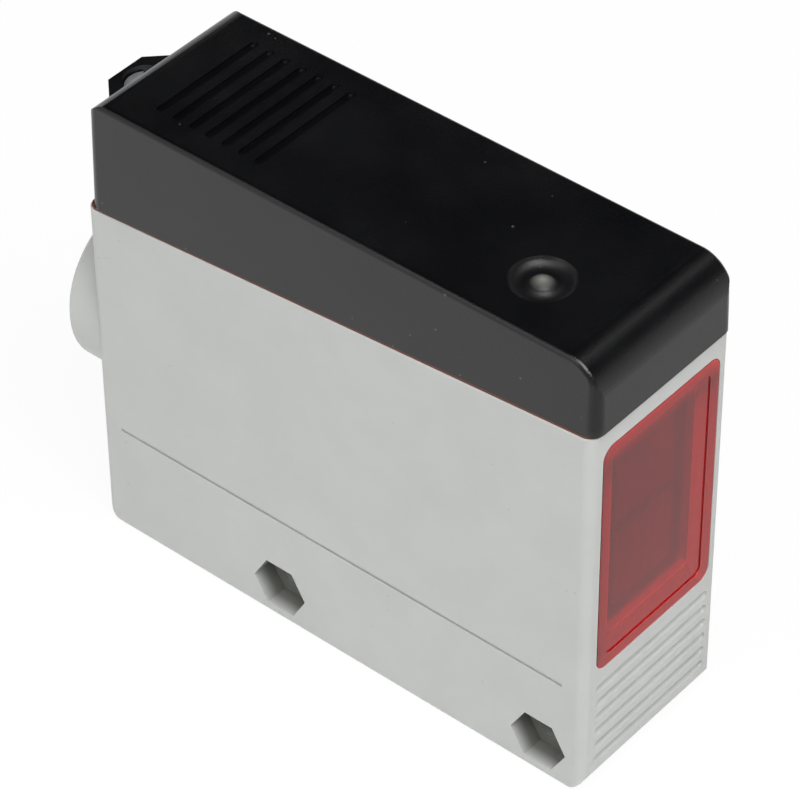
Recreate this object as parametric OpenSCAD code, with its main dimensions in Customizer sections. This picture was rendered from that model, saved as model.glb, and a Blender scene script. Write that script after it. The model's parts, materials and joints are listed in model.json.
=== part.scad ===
/* [Housing] */
// Length of the housing from its back face to its front face
body_l = 75.5; // [70:0.5:92]
// Width of the housing
body_w = 25; // [24:0.5:31]
// Height from the underside to the top of the cover
total_h = 65.5; // [62.5:0.5:77]
// Height of the split line at the back face
split_back_h = 49.5; // [48:0.1:53.5]
// Height of the split line at the front face
split_front_h = 55.5; // [55:0.1:58]
// Side and back walls of the housing
wall = 2; // [1.6:0.1:2.4]
// Floor of the housing
floor_t = 2.4; // [2:0.1:3]
// Radius of the upright corners
corner_r = 1.5; // [1:0.1:2.4]
// Radius of the lower corners seen from the side
foot_r = 3.5; // [1:0.1:3.8]

/* [Window] */
// Width of the window rebate
win_w = 21.2; // [19:0.1:21.6]
// Height of the window rebate
win_h = 34.2; // [30.2:0.5:35.2]
// Height of the lower edge of the window rebate
win_z = 18.8; // [18.4:0.1:19.2]
// Thickness of the window plate
win_t = 2.5; // [2:0.1:3]
// Corner radius of the window
win_r = 1.8; // [1:0.1:2.5]
// Gap left round the window plate
win_gap = 0.12; // [0.05:0.01:0.2]
// Thickness of the ledge that carries the window
ledge_t = 1.5; // [1.2:0.1:2]
// Width of the window's raised rim
win_rim = 1.75; // [1.2:0.05:2]
// How deep the field inside the rim lies
win_step = 0.25; // [0.1:0.05:0.4]
// Width of the opening in the ledge
eye_w = 15; // [13:0.1:15.6]
// Height of the opening in the ledge
eye_h = 27.8; // [26:0.1:28.6]
// How far the opening sits above the middle of the window
eye_lift = 0.4; // [0:0.1:0.8]
// Gap between the window and the dark face behind it
glass_gap = 1.05; // [0.3:0.05:1.2]

/* [Front ribs and side line] */
// Number of grooves below the window
groove_n = 6; // [3:1:6]
// Spacing of the grooves
groove_pitch = 2.29; // [2:0.01:2.4]
// Height of the lowest groove
groove_z = 4.5; // [4.3:0.1:5]
// Length of each groove
groove_l = 21; // [16:0.2:22]
// Radius of each half-round groove
groove_r = 0.6; // [0.4:0.05:0.8]
// Height of the fine line along each side
line_z = 16.2; // [12:0.1:18]
// Height and depth of the fine line
line_w = 0.45; // [0.3:0.05:0.8]
// Distance from the line's ends to the end faces
line_end = 3.4; // [2:0.1:6]

/* [Mounting holes] */
// Distance between the two mounting holes
hole_pitch = 40; // [33:0.5:48]
// Distance from the front hole to the front face
hole_front = 6.7; // [6:0.1:8]
// Height of the hole centres
hole_z = 4.9; // [4.5:0.1:5.5]
// Clearance hole for an M4 bolt
hole_d = 4.3; // [4.2:0.1:4.5]
// Width across the flats of the nut pocket
nut_af = 7; // [6.8:0.1:7.2]
// Depth of the nut pocket
nut_d = 3.1; // [2.8:0.1:4]

/* [Cable entry] */
// Outer diameter of the round entry boss
hub_d = 23.6; // [22:0.1:24]
// How far the boss stands behind the back face
hub_l = 5.4; // [5.3:0.1:8]
// Height of the entry's centre
hub_z = 29.4; // [27:0.1:30.5]
// Core diameter of the M20 thread
hub_core_d = 18.4; // [18:0.1:18.8]
// Wall behind the thread, inside the housing
hub_back_t = 4; // [3:0.1:5]

/* [Cover] */
// Wall of the cover
cover_wall = 2; // [1.6:0.1:2.4]
// Top wall of the cover
cover_top_t = 1.8; // [1.5:0.1:2.2]
// Taper of the cover's sides, as a share of their height
draft = 0.024; // [0.01:0.001:0.024]
// Radius of the upright corners at the top
cover_corner_r = 1.3; // [1:0.1:2]
// Large radius where the top turns down at the front
brow_r = 4.5; // [3:0.1:5]
// Radius where the top turns down at the back
back_r = 3.2; // [2.8:0.1:4]
// Small radius along the two long top edges
rim_r = 0.75; // [0.3:0.05:1]
// How far the cover stands in front of the housing
cover_proud = 0.3; // [0:0.05:0.5]
// How far the cover's back lies inside the housing's back
cover_back = 1; // [0.5:0.05:1.2]
// Depth of the locating lip below the split
lip_d = 1.6; // [1.2:0.1:2]
// Thickness of the locating lip
lip_t = 1; // [0.8:0.1:1.2]
// Gap between the lip and the housing
lip_gap = 0.15; // [0.1:0.05:0.3]
// Thickness of the pressed gasket
gasket_t = 0.3; // [0.2:0.05:0.5]

/* [Cover screw lug] */
// How far the lug stands behind the housing
lug_l = 4.5; // [4.3:0.1:5.2]
// Width of the lug at the cover
lug_w = 10.8; // [10:0.1:12]
// Width of the lug at its end
lug_end_w = 5.8; // [5:0.1:6.5]
// Height of the lug's top
lug_z = 60.3; // [59.5:0.1:61]
// Distance from the screw to the housing's back face
screw_x = 1.15; // [1:0.05:1.3]
// Diameter of the screw's shank
screw_d = 3; // [2.5:0.1:3]
// Diameter of the screw's head
screw_head_d = 5.2; // [5:0.1:5.4]
// Height of the screw's head
screw_head_h = 1.9; // [1.5:0.1:2.2]
// How deep the seat of the screw's head lies in the lug
screw_sink = 2.05; // [1.7:0.05:2.3]
// Length of the screw below its head
screw_l = 16; // [14:0.5:17]

/* [Indicator dome and grip] */
// Distance from the dome to the front face
dome_front = 14.1; // [13.2:0.1:15.2]
// Sideways place of the dome
dome_y = -3.8; // [-4.2:0.1:4.2]
// Radius of the ring-shaped valley round the dome
valley_r = 2.6; // [2.4:0.05:3]
// Radius of the valley's round section
valley_section_r = 1.45; // [1.3:0.05:1.6]
// How far the valley's centre lies above the top
valley_lift = 0.5; // [0.4:0.05:0.8]
// Radius of the dome's crown
dome_r = 2.4; // [2:0.05:2.6]
// Number of grip grooves in the cover's top
grip_n = 7; // [3:1:8]
// Spacing of the grip grooves
grip_pitch = 2.5; // [2.2:0.1:2.6]
// Width of each grip groove
grip_w = 1.1; // [0.6:0.1:1.4]
// Length of each grip groove
grip_l = 17; // [10:0.5:18]
// Depth of each grip groove
grip_d = 0.35; // [0.2:0.05:0.6]
// Distance from the grip's middle to the housing's back face
grip_x = 16.4; // [15:0.1:18.5]

/* [Optics] */
// Length of the optics block behind the ledge
block_l = 18; // [16:0.5:20]
// Width of the optics block
block_w = 16.2; // [16:0.1:17.5]
// Height of the optics block
block_h = 29; // [28.8:0.1:29.8]
// Side of each square lens
lens_w = 11; // [10:0.1:11]
// Distance between the two lens centres
lens_pitch = 12.4; // [12:0.1:12.6]
// Thickness of the lens flange
lens_flange_t = 1; // [0.8:0.1:1.4]
// Radius of the lens crown's sphere
lens_crown_r = 9; // [7:0.5:12]
// Radius of the lens crown's rim
lens_rim_r = 5; // [4.5:0.1:5]
// Thickness of each polarising film
film_t = 0.4; // [0.3:0.05:0.6]
// Diameter of the emitter's body
led_d = 5; // [4.8:0.1:5.2]
// Length of the emitter's body
led_l = 8.6; // [7:0.1:9]

/* [Boards] */
// Thickness of the boards
board_t = 1.6; // [1:0.1:1.6]
// Distance from the emitter's axis down to the pins that link the boards
link_drop = 2.25; // [1.8:0.05:4]
// Distance from the back face to the wiring partition's back side
partition_x = 11.6; // [11:0.1:13]
// Thickness of the wiring partition
partition_t = 1.4; // [1.2:0.1:2]
// Number of terminals
pole_n = 5; // [3:1:5]
// Spacing of the terminals
pole_pitch = 3.5; // [3.3:0.05:3.5]

/* [Hidden] */
$fn = 64;

// Overlap that makes one cut pass cleanly through another
eps = 0.01;
// Margin by which a cutting shape overshoots
over = 2;
// Running gap round a screw or pin in its hole
hole_gap = 0.05;
// Gap round loose-fitting inner pieces
fit_gap = 0.2;

// The origin is the middle of the sensor's length, under its base
front_x = body_l + cover_proud;
mid_x = (front_x - hub_l) / 2;

// Housing
half_w = body_w / 2;
front_t = win_t + ledge_t;
room_front = body_l - front_t;
room_half = half_w - wall;
room_r = 1.2;
edge_r = 0.55;
top_edge_r = 0.35;
slope_a = atan2(split_front_h - split_back_h, body_l);
hole_x = [body_l - hole_front - hole_pitch, body_l - hole_front];
nut_r = nut_af / 2 / cos(30);
hole_boss_r = nut_r + 1.4;
win_mid = win_z + win_h / 2;
eye_z = win_mid + eye_lift;
eye_r = 0.8;
win_field_r = 1;
hub_r = hub_d / 2;
hub_core_r = hub_core_d / 2;
hub_edge = 0.6;
hub_lead = 0.9;
hub_web = 1.6;
line_r = 0.45 * line_w;

// Cover, with the solid ring between its lip and its hollow
cover_half = half_w - draft * (total_h - split_back_h);
cover_front = front_x - draft * (total_h - split_front_h);
lip_web = 2.2;
room_rim_r = 0.5;
brow_ease = 0.03;
gasket_in = 0.12;

// Lug and its screw
lug_half = lug_w / 2;
lug_end_half = lug_end_w / 2;
lug_side = lug_l - (lug_half - lug_end_half);
screw_seat = lug_z - screw_sink;
lug_root = 1;
lug_foot = hub_z + sqrt(hub_r * hub_r - lug_half * lug_half) - lug_root;
screw_r = screw_d / 2;
screw_slot_w = 0.8;
screw_slot_d = 0.9;
screw_turn = 41;

// Indicator
dome_x = body_l - dome_front;
guide_d = 3;
guide_boss_r = 2.9;
guide_boss_l = 3;
dome_skin = 1;
guide_top = total_h - dome_skin;
guide_lift = 0.6;
status_d = 3;
status_l = 5.3;
status_flange_r = 1.9;
status_flange_t = 1;

// Optics, front to back
snout_x = body_l - win_t - glass_gap;
block_back = room_front - block_l;
block_top = eye_z + block_h / 2;
block_r = 1;
film_back = snout_x - film_t;
lens_back = film_back - lens_flange_t;
lens_gap = 0.1;
lens_edge_r = 0.3;
lens_z = [eye_z + lens_pitch / 2, eye_z - lens_pitch / 2];
barrel_r = lens_rim_r + 0.2;
barrel_end_r = 3;
barrel_wall = 2.5;
barrel_back = block_back + barrel_wall;
led_r = led_d / 2;
led_flange_r = led_r + 0.4;
led_flange_t = 1;
lead_r = 0.25;
lead_hole_r = 0.4;
lead_y = 1.27;
lead_l = 0.7;
diode_w = 5.4;
diode_h = 4.4;
diode_t = 2;
diode_eye_r = 1.6;
diode_edge_r = 0.2;

// Boards
board_gap = 0.25;
optics_board_x = block_back - board_t;
optics_board_half = room_half - 1;
optics_board_z = 12.4;
board_r = 0.8;
post_y = 6.3;
post_z = 15;
post_r = 2.2;
indicator_lift = 1.4;
indicator_z = block_top + indicator_lift;
indicator_t = 1;
indicator_half = 7.2;
indicator_lap = 1.5;
indicator_back = optics_board_x - indicator_lap;
indicator_front = room_front - 3;
stake_r = 0.75;
stake_up = 0.6;
stake_root = 1;
stake_x = [block_back + 4, room_front - 5];
stake_y = 5;
tab_half = 3;
tab_up = 0.4;
tab_gap = 0.1;
board_space = 1;
main_front = optics_board_x - board_space;
main_back = partition_x + board_gap;
main_r = 1;
main_half = room_half - board_gap;
header_h = 2.5;
main_z = lens_z[0] - link_drop + header_h / 2;
main_top = main_z + board_t;
pillar_r = 2.6;
pillar_in = 2.3;
pillar_y = room_half - pillar_in;
pillar_x = [partition_x + partition_t + 3.2, main_front - 3];
board_screw_d = 2;
board_screw_l = 6;
board_head_r = 1.9;
board_head_h = 1.3;
board_slot_w = 0.5;
board_slot_d = 0.6;

// What hangs under the main board and stands on it
part_gap = 0.3;
pin_r = 0.35;
pin_hole_r = 0.5;
pin_up = 0.9;
pin_root = 1;
part_space = 1;
relay_x = pillar_x[0] + pillar_r + 2 * part_gap;
relay_l = 18.4;
relay_w = 10.2;
relay_h = 15.3;
relay_in = 0.45;
relay_y = relay_in - main_half;
relay_r = 0.6;
relay_pin_in = 1.6;
coil_l = 8;
coil_w = 6.6;
coil_h = 10;
coil_x = relay_x + relay_l + part_space;
coil_rise = 1;
coil_cheek = 1.2;
coil_pin_y = 2.4;
core_drop = 1.2;
core_t = 2;
core_leg = 2.6;
leg_gap = 0.3;
can_d = 8;
can_h = 11.5;
can_x = relay_x + 4.6;
can_y = 5.2;
can_neck_h = 1.2;
can_neck_in = 0.4;
can_pin_y = 1.75;
film_x = can_x + can_d / 2 + 1.2;
film_l = 8.8;
film_w = 5;
film_h = 11;
film_y = 2.8;
film_r = 0.5;
film_pin_in = 1.2;
block_pole_x = pillar_x[0] + 3.4;
pole_block_l = 10;
pole_block_h = 10.4;
pole_block_w = 2 * (room_half - lip_gap - lip_t - part_gap);
pole_foot_l = 0.8;
pole_foot_h = 1.1;
pole_chamfer = 2.1;
pole_pin_x = 1.6;
clamp_l = 4.6;
clamp_w = 2.5;
clamp_h = 5.4;
clamp_wall = 0.5;
clamp_gap = 0.1;
clamp_side = 0.15;
clamp_x = block_pole_x + 2.2;
clamp_z = main_top + 2;
clamp_room = 0.6;
wire_h = 3.2;
driver_r = 1.65;
terminal_screw_d = 2;
terminal_screw_l = 2.6;
terminal_head_r = 1.5;
terminal_head_h = 1.5;
terminal_slot_w = 0.4;
terminal_slot_d = 0.6;
chip_l = 4.9;
chip_w = 3.9;
chip_t = 1.5;
chip_up = 0.2;
chip_legs = 4;
chip_pitch = 1.27;
leg_w = 0.4;
leg_t = 0.3;
leg_out = 1;
controller_x = relay_x + relay_l - 4.6;
signal_z = lens_z[1] - 4.2;
header_l = 2.5;
header_n = 4;
header_pitch = 2.54;
header_x = main_front - 2;
shield_t = 0.3;
shield_w = 10.4;
shield_h = 10;
shield_d = 3.2;
shield_z = signal_z - 4.4;
shield_r = 0.8;
shield_hole_r = 0.6;
shield_hole_pitch = 3;

function split_h(x) = split_back_h + (split_front_h - split_back_h) * x / body_l;

// Moves the object from its modelling place, with the back face at x = 0, to its origin
module placed() {
    translate([-mid_x, 0, 0]) children();
}

// Turns a flat shape drawn in x and z into a slab across the width
module across(w = body_w + 2 * over) {
    rotate([90, 0, 0]) linear_extrude(w, center = true) children();
}

// Turns a flat shape drawn in y and z into a bar from x0 to x1
module along(x0, x1) {
    translate([x0, 0, 0]) rotate([90, 0, 90]) linear_extrude(x1 - x0) children();
}

// A cylinder that points along x
module rod_x(x0, x1, y, z, r) {
    translate([x0, y, z]) rotate([0, 90, 0]) cylinder(h = x1 - x0, r = r);
}

// A flat rectangle with four equal round corners
module round_rect(a0, b0, a1, b1, r) {
    translate([a0 + r, b0]) square([a1 - a0 - 2 * r, b1 - b0]);
    translate([a0, b0 + r]) square([a1 - a0, b1 - b0 - 2 * r]);
    for (a = [a0 + r, a1 - r], b = [b0 + r, b1 - r]) translate([a, b]) circle(r);
}

// A flat rectangle centred on its middle
module mid_rect(a, b, w, h, r) {
    round_rect(a - w / 2, b - h / 2, a + w / 2, b + h / 2, r);
}

// A box centred in y
module mid_box(x0, x1, w, z0, z1) {
    translate([x0, -w / 2, z0]) cube([x1 - x0, w, z1 - z0]);
}

// The area between two heights above the sloping split, drawn in x and z
module split_band(lo, hi) {
    polygon([[-hub_l - over, split_h(-hub_l - over) + lo],
        [front_x + over, split_h(front_x + over) + lo],
        [front_x + over, split_h(front_x + over) + hi],
        [-hub_l - over, split_h(-hub_l - over) + hi]]);
}

// The room inside the housing, in plan
module room_plan(inset = 0) {
    round_rect(wall + inset, inset - room_half, room_front - inset, room_half - inset,
        max(room_r - inset, 0.2));
}

// Plan of the screw lug behind the housing and the cover
module lug_plan() {
    polygon([[wall, -lug_half], [-lug_side, -lug_half], [-lug_l, -lug_end_half],
        [-lug_l, lug_end_half], [-lug_side, lug_half], [wall, lug_half]]);
}

module housing_form() {
    intersection() {
        linear_extrude(total_h) round_rect(0, -half_w, body_l, half_w, corner_r);
        across() intersection() {
            round_rect(0, 0, body_l, total_h + 2 * foot_r, foot_r);
            split_band(-total_h, 0);
        }
        along(-over, body_l + over) round_rect(-half_w, 0, half_w, total_h, edge_r);
        translate([0, 0, split_back_h]) rotate([0, -slope_a, 0])
            along(-2 * over, body_l + 2 * over) round_rect(-half_w, -total_h, half_w, 0, top_edge_r);
    }
}

// Round boss that carries the cable thread, with its broken edge
module hub() {
    rotate([0, -90, 0]) translate([hub_z, 0, -wall]) {
        cylinder(h = wall + hub_l - hub_edge, r = hub_r);
        translate([0, 0, wall + hub_l - hub_edge])
            cylinder(h = hub_edge, r1 = hub_r, r2 = hub_r - hub_edge);
    }
}

// Inner walls and posts that stand in the housing's room
module housing_inside() {
    for (x = hole_x) {
        translate([x, 0, hole_z]) rotate([90, 0, 0])
            cylinder(h = body_w - wall, r = hole_boss_r, center = true);
        mid_box(x - hole_boss_r, x + hole_boss_r, body_w - wall, floor_t / 2, hole_z);
    }
    mid_box(wall / 2, hub_back_t, body_w - wall, hub_z - hub_r, hub_z + hub_core_r + hub_web);
    mid_box(partition_x, partition_x + partition_t, body_w - wall, floor_t / 2, main_z);
    for (x = pillar_x, s = [-1, 1]) translate([x, s * pillar_y, floor_t / 2])
        cylinder(h = main_z - floor_t / 2, r = pillar_r);
    for (s = [-1, 1]) rod_x(block_back, room_front + ledge_t / 2, s * post_y, post_z, post_r);
}

module housing() {
    color([0.75, 0.755, 0.74]) placed() difference() {
        union() {
            difference() {
                housing_form();
                translate([0, 0, floor_t]) linear_extrude(total_h) room_plan();
            }
            intersection() {
                housing_form();
                housing_inside();
            }
            hub();
            intersection() {
                translate([0, 0, lug_foot]) linear_extrude(total_h) lug_plan();
                across() split_band(-total_h, 0);
            }
        }
        // Cable thread
        rod_x(-hub_l - over, hub_back_t + over, 0, hub_z, hub_core_r);
        translate([-hub_l - eps, 0, hub_z]) rotate([0, 90, 0])
            cylinder(h = hub_lead, r1 = hub_core_r + hub_lead, r2 = hub_core_r);
        // Window rebate and the opening behind it
        along(body_l - win_t, body_l + over) mid_rect(0, win_mid, win_w, win_h, win_r);
        along(room_front - over, body_l) mid_rect(0, eye_z, eye_w, eye_h, eye_r);
        // Mounting holes with their nut pockets
        for (x = hole_x) translate([x, 0, hole_z]) rotate([90, 0, 0]) {
            cylinder(h = body_w + 2 * over, d = hole_d, center = true);
            translate([0, 0, half_w - nut_d]) cylinder(h = nut_d + over, r = nut_r, $fn = 6);
        }
        // Grooves below the window
        for (i = [0 : groove_n - 1]) translate([body_l, 0, groove_z + i * groove_pitch]) {
            rotate([90, 0, 0]) cylinder(h = groove_l - 2 * groove_r, r = groove_r, center = true);
            for (s = [-1, 1]) translate([0, s * (groove_l / 2 - groove_r), 0]) sphere(groove_r);
        }
        // Fine line along both sides
        for (s = [-1, 1]) translate([0, s * half_w, 0])
            across(line_w) mid_rect(body_l / 2, line_z, body_l - 2 * line_end, line_w, line_r);
        // Pilot holes for the cover screw and the board screws
        translate([-screw_x, 0, screw_seat - screw_l - 1])
            cylinder(h = screw_l + over, r = screw_r + hole_gap);
        for (x = pillar_x, s = [-1, 1]) translate([x, s * pillar_y, main_z - board_screw_l])
            cylinder(h = board_screw_l + over, r = board_screw_d / 2 + hole_gap);
        for (s = [-1, 1]) rod_x(block_back - over, block_back + board_screw_l, s * post_y, post_z,
            board_screw_d / 2 + hole_gap);
    }
}

// A flat hood shape: top corners at a and b, flanks that spread downwards, round upper corners
module hood(a, b, top, ra, rb, base) {
    spread = draft * (top - base);
    slant = sqrt(1 + draft * draft);
    lean = atan(draft);
    ca = a - draft * ra + ra * slant;
    cb = b + draft * rb - rb * slant;
    polygon([[a - spread, base], [b + spread, base],
        [cb + rb * cos(lean), top - rb + rb * sin(lean)], [cb, top - rb], [cb, top],
        [ca, top], [ca, top - ra], [ca - ra * cos(lean), top - ra + ra * sin(lean)]]);
    translate([ca, top - ra]) circle(ra);
    translate([cb, top - rb]) circle(rb);
}

// The cover's outer block with tapered walls and tapered round corners
module cover_corners() {
    base = split_back_h - lip_d;
    h = total_h - base;
    xs = [cover_back + cover_corner_r, cover_front - cover_corner_r];
    y = cover_half - cover_corner_r;
    for (x = xs, s = [-1, 1]) translate([x, s * y, base])
        cylinder(h = h, r1 = cover_corner_r + draft * h, r2 = cover_corner_r);
    along(xs[0], xs[1]) polygon([[-cover_half - draft * h, base], [cover_half + draft * h, base],
        [cover_half, total_h], [-cover_half, total_h]]);
    across(2 * y) polygon([[cover_back - draft * h, base], [cover_front + draft * h, base],
        [cover_front, total_h], [cover_back, total_h]]);
}

// Rounds the ends of the brow, where it meets the tapered sides. The tool's circle reaches past
// both faces by a hair, so that it crosses them and doesn't just touch them
module brow_ends() {
    lean = atan(draft);
    reach = (brow_r - rim_r) / cos(lean);
    for (s = [-1, 1]) translate([cover_front + draft * brow_r - brow_r * sqrt(1 + draft * draft),
            s * (cover_half + draft * brow_r), total_h - brow_r])
        rotate([s * (lean - 90), 0, 0]) rotate([0, 0, s > 0 ? -90 : 0]) rotate_extrude(angle = 90)
            translate([reach, -rim_r]) difference() {
                square(2 * rim_r);
                circle(rim_r + brow_ease);
            }
}

module cover_form() {
    difference() {
        intersection() {
            cover_corners();
            across() intersection() {
                hood(cover_back, cover_front, total_h, back_r, brow_r, split_back_h - lip_d);
                split_band(gasket_t, total_h);
            }
            along(-over, front_x + over)
                hood(-cover_half, cover_half, total_h, rim_r, rim_r, split_back_h - lip_d);
        }
        brow_ends();
    }
}

// Hollow above the lip
module cover_room() {
    top = total_h - cover_top_t;
    intersection() {
        across() intersection() {
            hood(cover_back + cover_wall, cover_front - cover_wall, top, back_r - cover_top_t,
                brow_r - cover_top_t, split_back_h);
            split_band(gasket_t + lip_web, total_h);
        }
        along(0, front_x)
            hood(cover_wall - cover_half, cover_half - cover_wall, top, room_rim_r, room_rim_r,
                split_back_h);
    }
}

// Ring-shaped valley with the dome left standing in it
module dome_cut() {
    translate([dome_x, dome_y, total_h]) rotate_extrude() {
        translate([valley_r, valley_lift]) circle(valley_section_r);
        difference() {
            translate([0, -dome_r / 3]) square([valley_r - 1, dome_r]);
            translate([0, -dome_r]) circle(dome_r);
        }
    }
}

module cover() {
    color([0.07, 0.07, 0.075]) placed() difference() {
        union() {
            difference() {
                cover_form();
                cover_room();
            }
            intersection() {
                linear_extrude(total_h) difference() {
                    room_plan(lip_gap);
                    room_plan(lip_gap + lip_t);
                }
                across() split_band(-lip_d, gasket_t + lip_web / 2);
            }
            intersection() {
                linear_extrude(lug_z) lug_plan();
                across() split_band(gasket_t, total_h);
            }
            translate([dome_x, dome_y, total_h - cover_top_t - guide_boss_l])
                cylinder(h = guide_boss_l + eps, r = guide_boss_r);
        }
        intersection() {
            linear_extrude(total_h) room_plan(lip_gap + lip_t);
            across() split_band(-over, gasket_t + lip_web + eps);
        }
        dome_cut();
        translate([dome_x, dome_y, guide_top - body_w]) cylinder(h = body_w, d = guide_d + 2 * hole_gap);
        // Grip grooves
        for (i = [0 : grip_n - 1]) translate([grip_x + (i - (grip_n - 1) / 2) * grip_pitch, 0,
                total_h - grip_d])
            linear_extrude(grip_d + over) mid_rect(0, 0, grip_w, grip_l, grip_w * 0.49);
        // Screw hole, and the way for the screw's head and its driver from above
        translate([-screw_x, 0, 0]) cylinder(h = total_h, r = screw_r + fit_gap);
        translate([-screw_x, 0, screw_seat]) cylinder(h = total_h, d = screw_head_d + 2 * fit_gap);
    }
}

module cover_gasket() {
    color([0.42, 0.16, 0.11]) placed() intersection() {
        linear_extrude(total_h) difference() {
            round_rect(gasket_in, gasket_in - half_w, body_l - gasket_in, half_w - gasket_in, corner_r);
            room_plan();
            translate([-screw_x, 0]) circle(screw_r + fit_gap);
        }
        across() split_band(0, gasket_t);
    }
}

// A pan-headed screw with a slot, head up, its head's underside at z = 0
module slotted_screw(d, l, head_r, head_h, slot_w, slot_d) {
    difference() {
        union() {
            translate([0, 0, -l]) cylinder(h = l + eps, d = d);
            intersection() {
                cylinder(h = head_h, r = head_r);
                translate([0, 0, head_h - 2.2 * head_r]) sphere(2.2 * head_r);
            }
        }
        translate([-slot_w / 2, -head_r - over, head_h - slot_d])
            cube([slot_w, 2 * (head_r + over), slot_d + over]);
    }
}

module cover_screw() {
    color([0.72, 0.74, 0.76]) placed() translate([-screw_x, 0, screw_seat]) rotate([0, 0, screw_turn])
        slotted_screw(screw_d, screw_l, screw_head_d / 2, screw_head_h, screw_slot_w, screw_slot_d);
}

// Red plate whose outer face has a shallow field inside a raised rim
module front_window() {
    color([0.75, 0.08, 0.08]) placed() difference() {
        along(body_l - win_t, body_l)
            mid_rect(0, win_mid, win_w - 2 * win_gap, win_h - 2 * win_gap, win_r - win_gap);
        along(body_l - win_step, body_l + over)
            mid_rect(0, win_mid, win_w - 2 * win_rim, win_h - 2 * win_rim, win_field_r);
    }
}

module optics_block() {
    color([0.12, 0.12, 0.13]) placed() difference() {
        union() {
            along(block_back, room_front)
                mid_rect(0, eye_z, block_w, block_h, block_r);
            along(room_front - stake_root, snout_x)
                mid_rect(0, eye_z, eye_w - 2 * fit_gap, eye_h - 2 * fit_gap, eye_r - fit_gap);
            for (x = stake_x, s = [-1, 1]) translate([x, s * stake_y, block_top - stake_root]) {
                cylinder(h = stake_root + indicator_lift, r = 2 * stake_r);
                cylinder(h = stake_root + indicator_lift + indicator_t + stake_up, r = stake_r);
            }
        }
        for (z = lens_z) {
            along(lens_back - eps, snout_x + over)
                mid_rect(0, z, lens_w + 2 * lens_gap, lens_w + 2 * lens_gap, lens_edge_r + lens_gap);
            translate([barrel_back, 0, z]) rotate([0, 90, 0])
                cylinder(h = lens_back - barrel_back, r1 = barrel_end_r, r2 = barrel_r);
        }
        rod_x(block_back - over, barrel_back + eps, 0, lens_z[0], led_r + lens_gap);
        rod_x(block_back - over, block_back + led_flange_t + lens_gap, 0, lens_z[0],
            led_flange_r + lens_gap);
        rod_x(block_back, barrel_back + eps, 0, lens_z[1], diode_eye_r);
        along(block_back - over, block_back + diode_t + lens_gap)
            mid_rect(0, lens_z[1], diode_w + 2 * fit_gap, diode_h + 2 * fit_gap, diode_edge_r);
    }
}

// A square-cut lens, flat to the front and domed to the back
module lens(z) {
    color([0.86, 0.9, 0.93]) placed() union() {
        along(lens_back, film_back) mid_rect(0, z, lens_w, lens_w, lens_edge_r);
        intersection() {
            rod_x(lens_back - lens_rim_r, lens_back + lens_flange_t / 2, 0, z, lens_rim_r);
            translate([lens_back + sqrt(lens_crown_r * lens_crown_r - lens_rim_r * lens_rim_r), 0, z])
                sphere(lens_crown_r);
        }
    }
}

module polariser(z) {
    color([0.3, 0.28, 0.3]) placed() along(film_back, snout_x) mid_rect(0, z, lens_w, lens_w, lens_edge_r);
}

module emitter_lens() {
    lens(lens_z[0]);
}

module receiver_lens() {
    lens(lens_z[1]);
}

module emitter_polariser() {
    polariser(lens_z[0]);
}

module receiver_polariser() {
    polariser(lens_z[1]);
}

// A round light-emitting diode, standing on z = 0 with its two leads below
module round_led(r, l, flange_r, flange_t, leads) {
    cylinder(h = l - r, r = r);
    translate([0, 0, l - r]) sphere(r);
    cylinder(h = flange_t, r = flange_r);
    for (s = [-1, 1]) translate([0, s * lead_y, -leads]) cylinder(h = leads + flange_t, r = lead_r);
}

module emitter_led() {
    color([0.85, 0.2, 0.18]) placed() translate([block_back, 0, lens_z[0]]) rotate([0, 90, 0])
        round_led(led_r, led_l, led_flange_r, led_flange_t, board_t + lead_l);
}

module receiver_diode() {
    color([0.1, 0.08, 0.1]) placed() union() {
        along(block_back, block_back + diode_t)
            mid_rect(0, lens_z[1], diode_w, diode_h, diode_edge_r);
        for (s = [-1, 1]) rod_x(block_back - board_t - lead_l, block_back + diode_t / 2,
            s * lead_y, lens_z[1], lead_r);
    }
}

module optics_board() {
    color([0.1, 0.35, 0.2]) placed() difference() {
        union() {
            along(optics_board_x, block_back) round_rect(-optics_board_half, optics_board_z,
                optics_board_half, indicator_z, board_r);
            mid_box(optics_board_x, block_back, 2 * tab_half, indicator_z - board_r,
                indicator_z + indicator_t + tab_up);
        }
        for (z = lens_z, s = [-1, 1])
            rod_x(optics_board_x - over, block_back + over, s * lead_y, z, lead_hole_r);
        for (s = [-1, 1])
            rod_x(optics_board_x - over, block_back + over, s * post_y, post_z, board_screw_d / 2 + fit_gap);
        for (i = [0 : header_n - 1]) rod_x(optics_board_x - over, block_back + over,
            (i - (header_n - 1) / 2) * header_pitch, main_z - header_h / 2, pin_hole_r);
    }
}

module indicator_board() {
    color([0.1, 0.35, 0.2]) placed() translate([0, 0, indicator_z]) linear_extrude(indicator_t)
        difference() {
            round_rect(indicator_back, -indicator_half, indicator_front, indicator_half, board_r);
            for (x = stake_x, s = [-1, 1]) translate([x, s * stake_y]) circle(stake_r + hole_gap);
            translate([optics_board_x - tab_gap, -tab_half - tab_gap])
                square([board_t + 2 * tab_gap, 2 * (tab_half + tab_gap)]);
            for (s = [-1, 1]) translate([dome_x, dome_y + s * lead_y]) circle(lead_hole_r);
        }
}

module status_led() {
    color([0.9, 0.75, 0.2]) placed() translate([dome_x, dome_y, indicator_z + indicator_t])
        round_led(status_d / 2, status_l, status_flange_r, status_flange_t, indicator_t);
}

module light_guide() {
    bottom = indicator_z + indicator_t + status_l + guide_lift;
    color([0.9, 0.9, 0.88]) placed() translate([dome_x, dome_y, bottom])
        cylinder(h = guide_top - bottom, d = guide_d);
}

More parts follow.
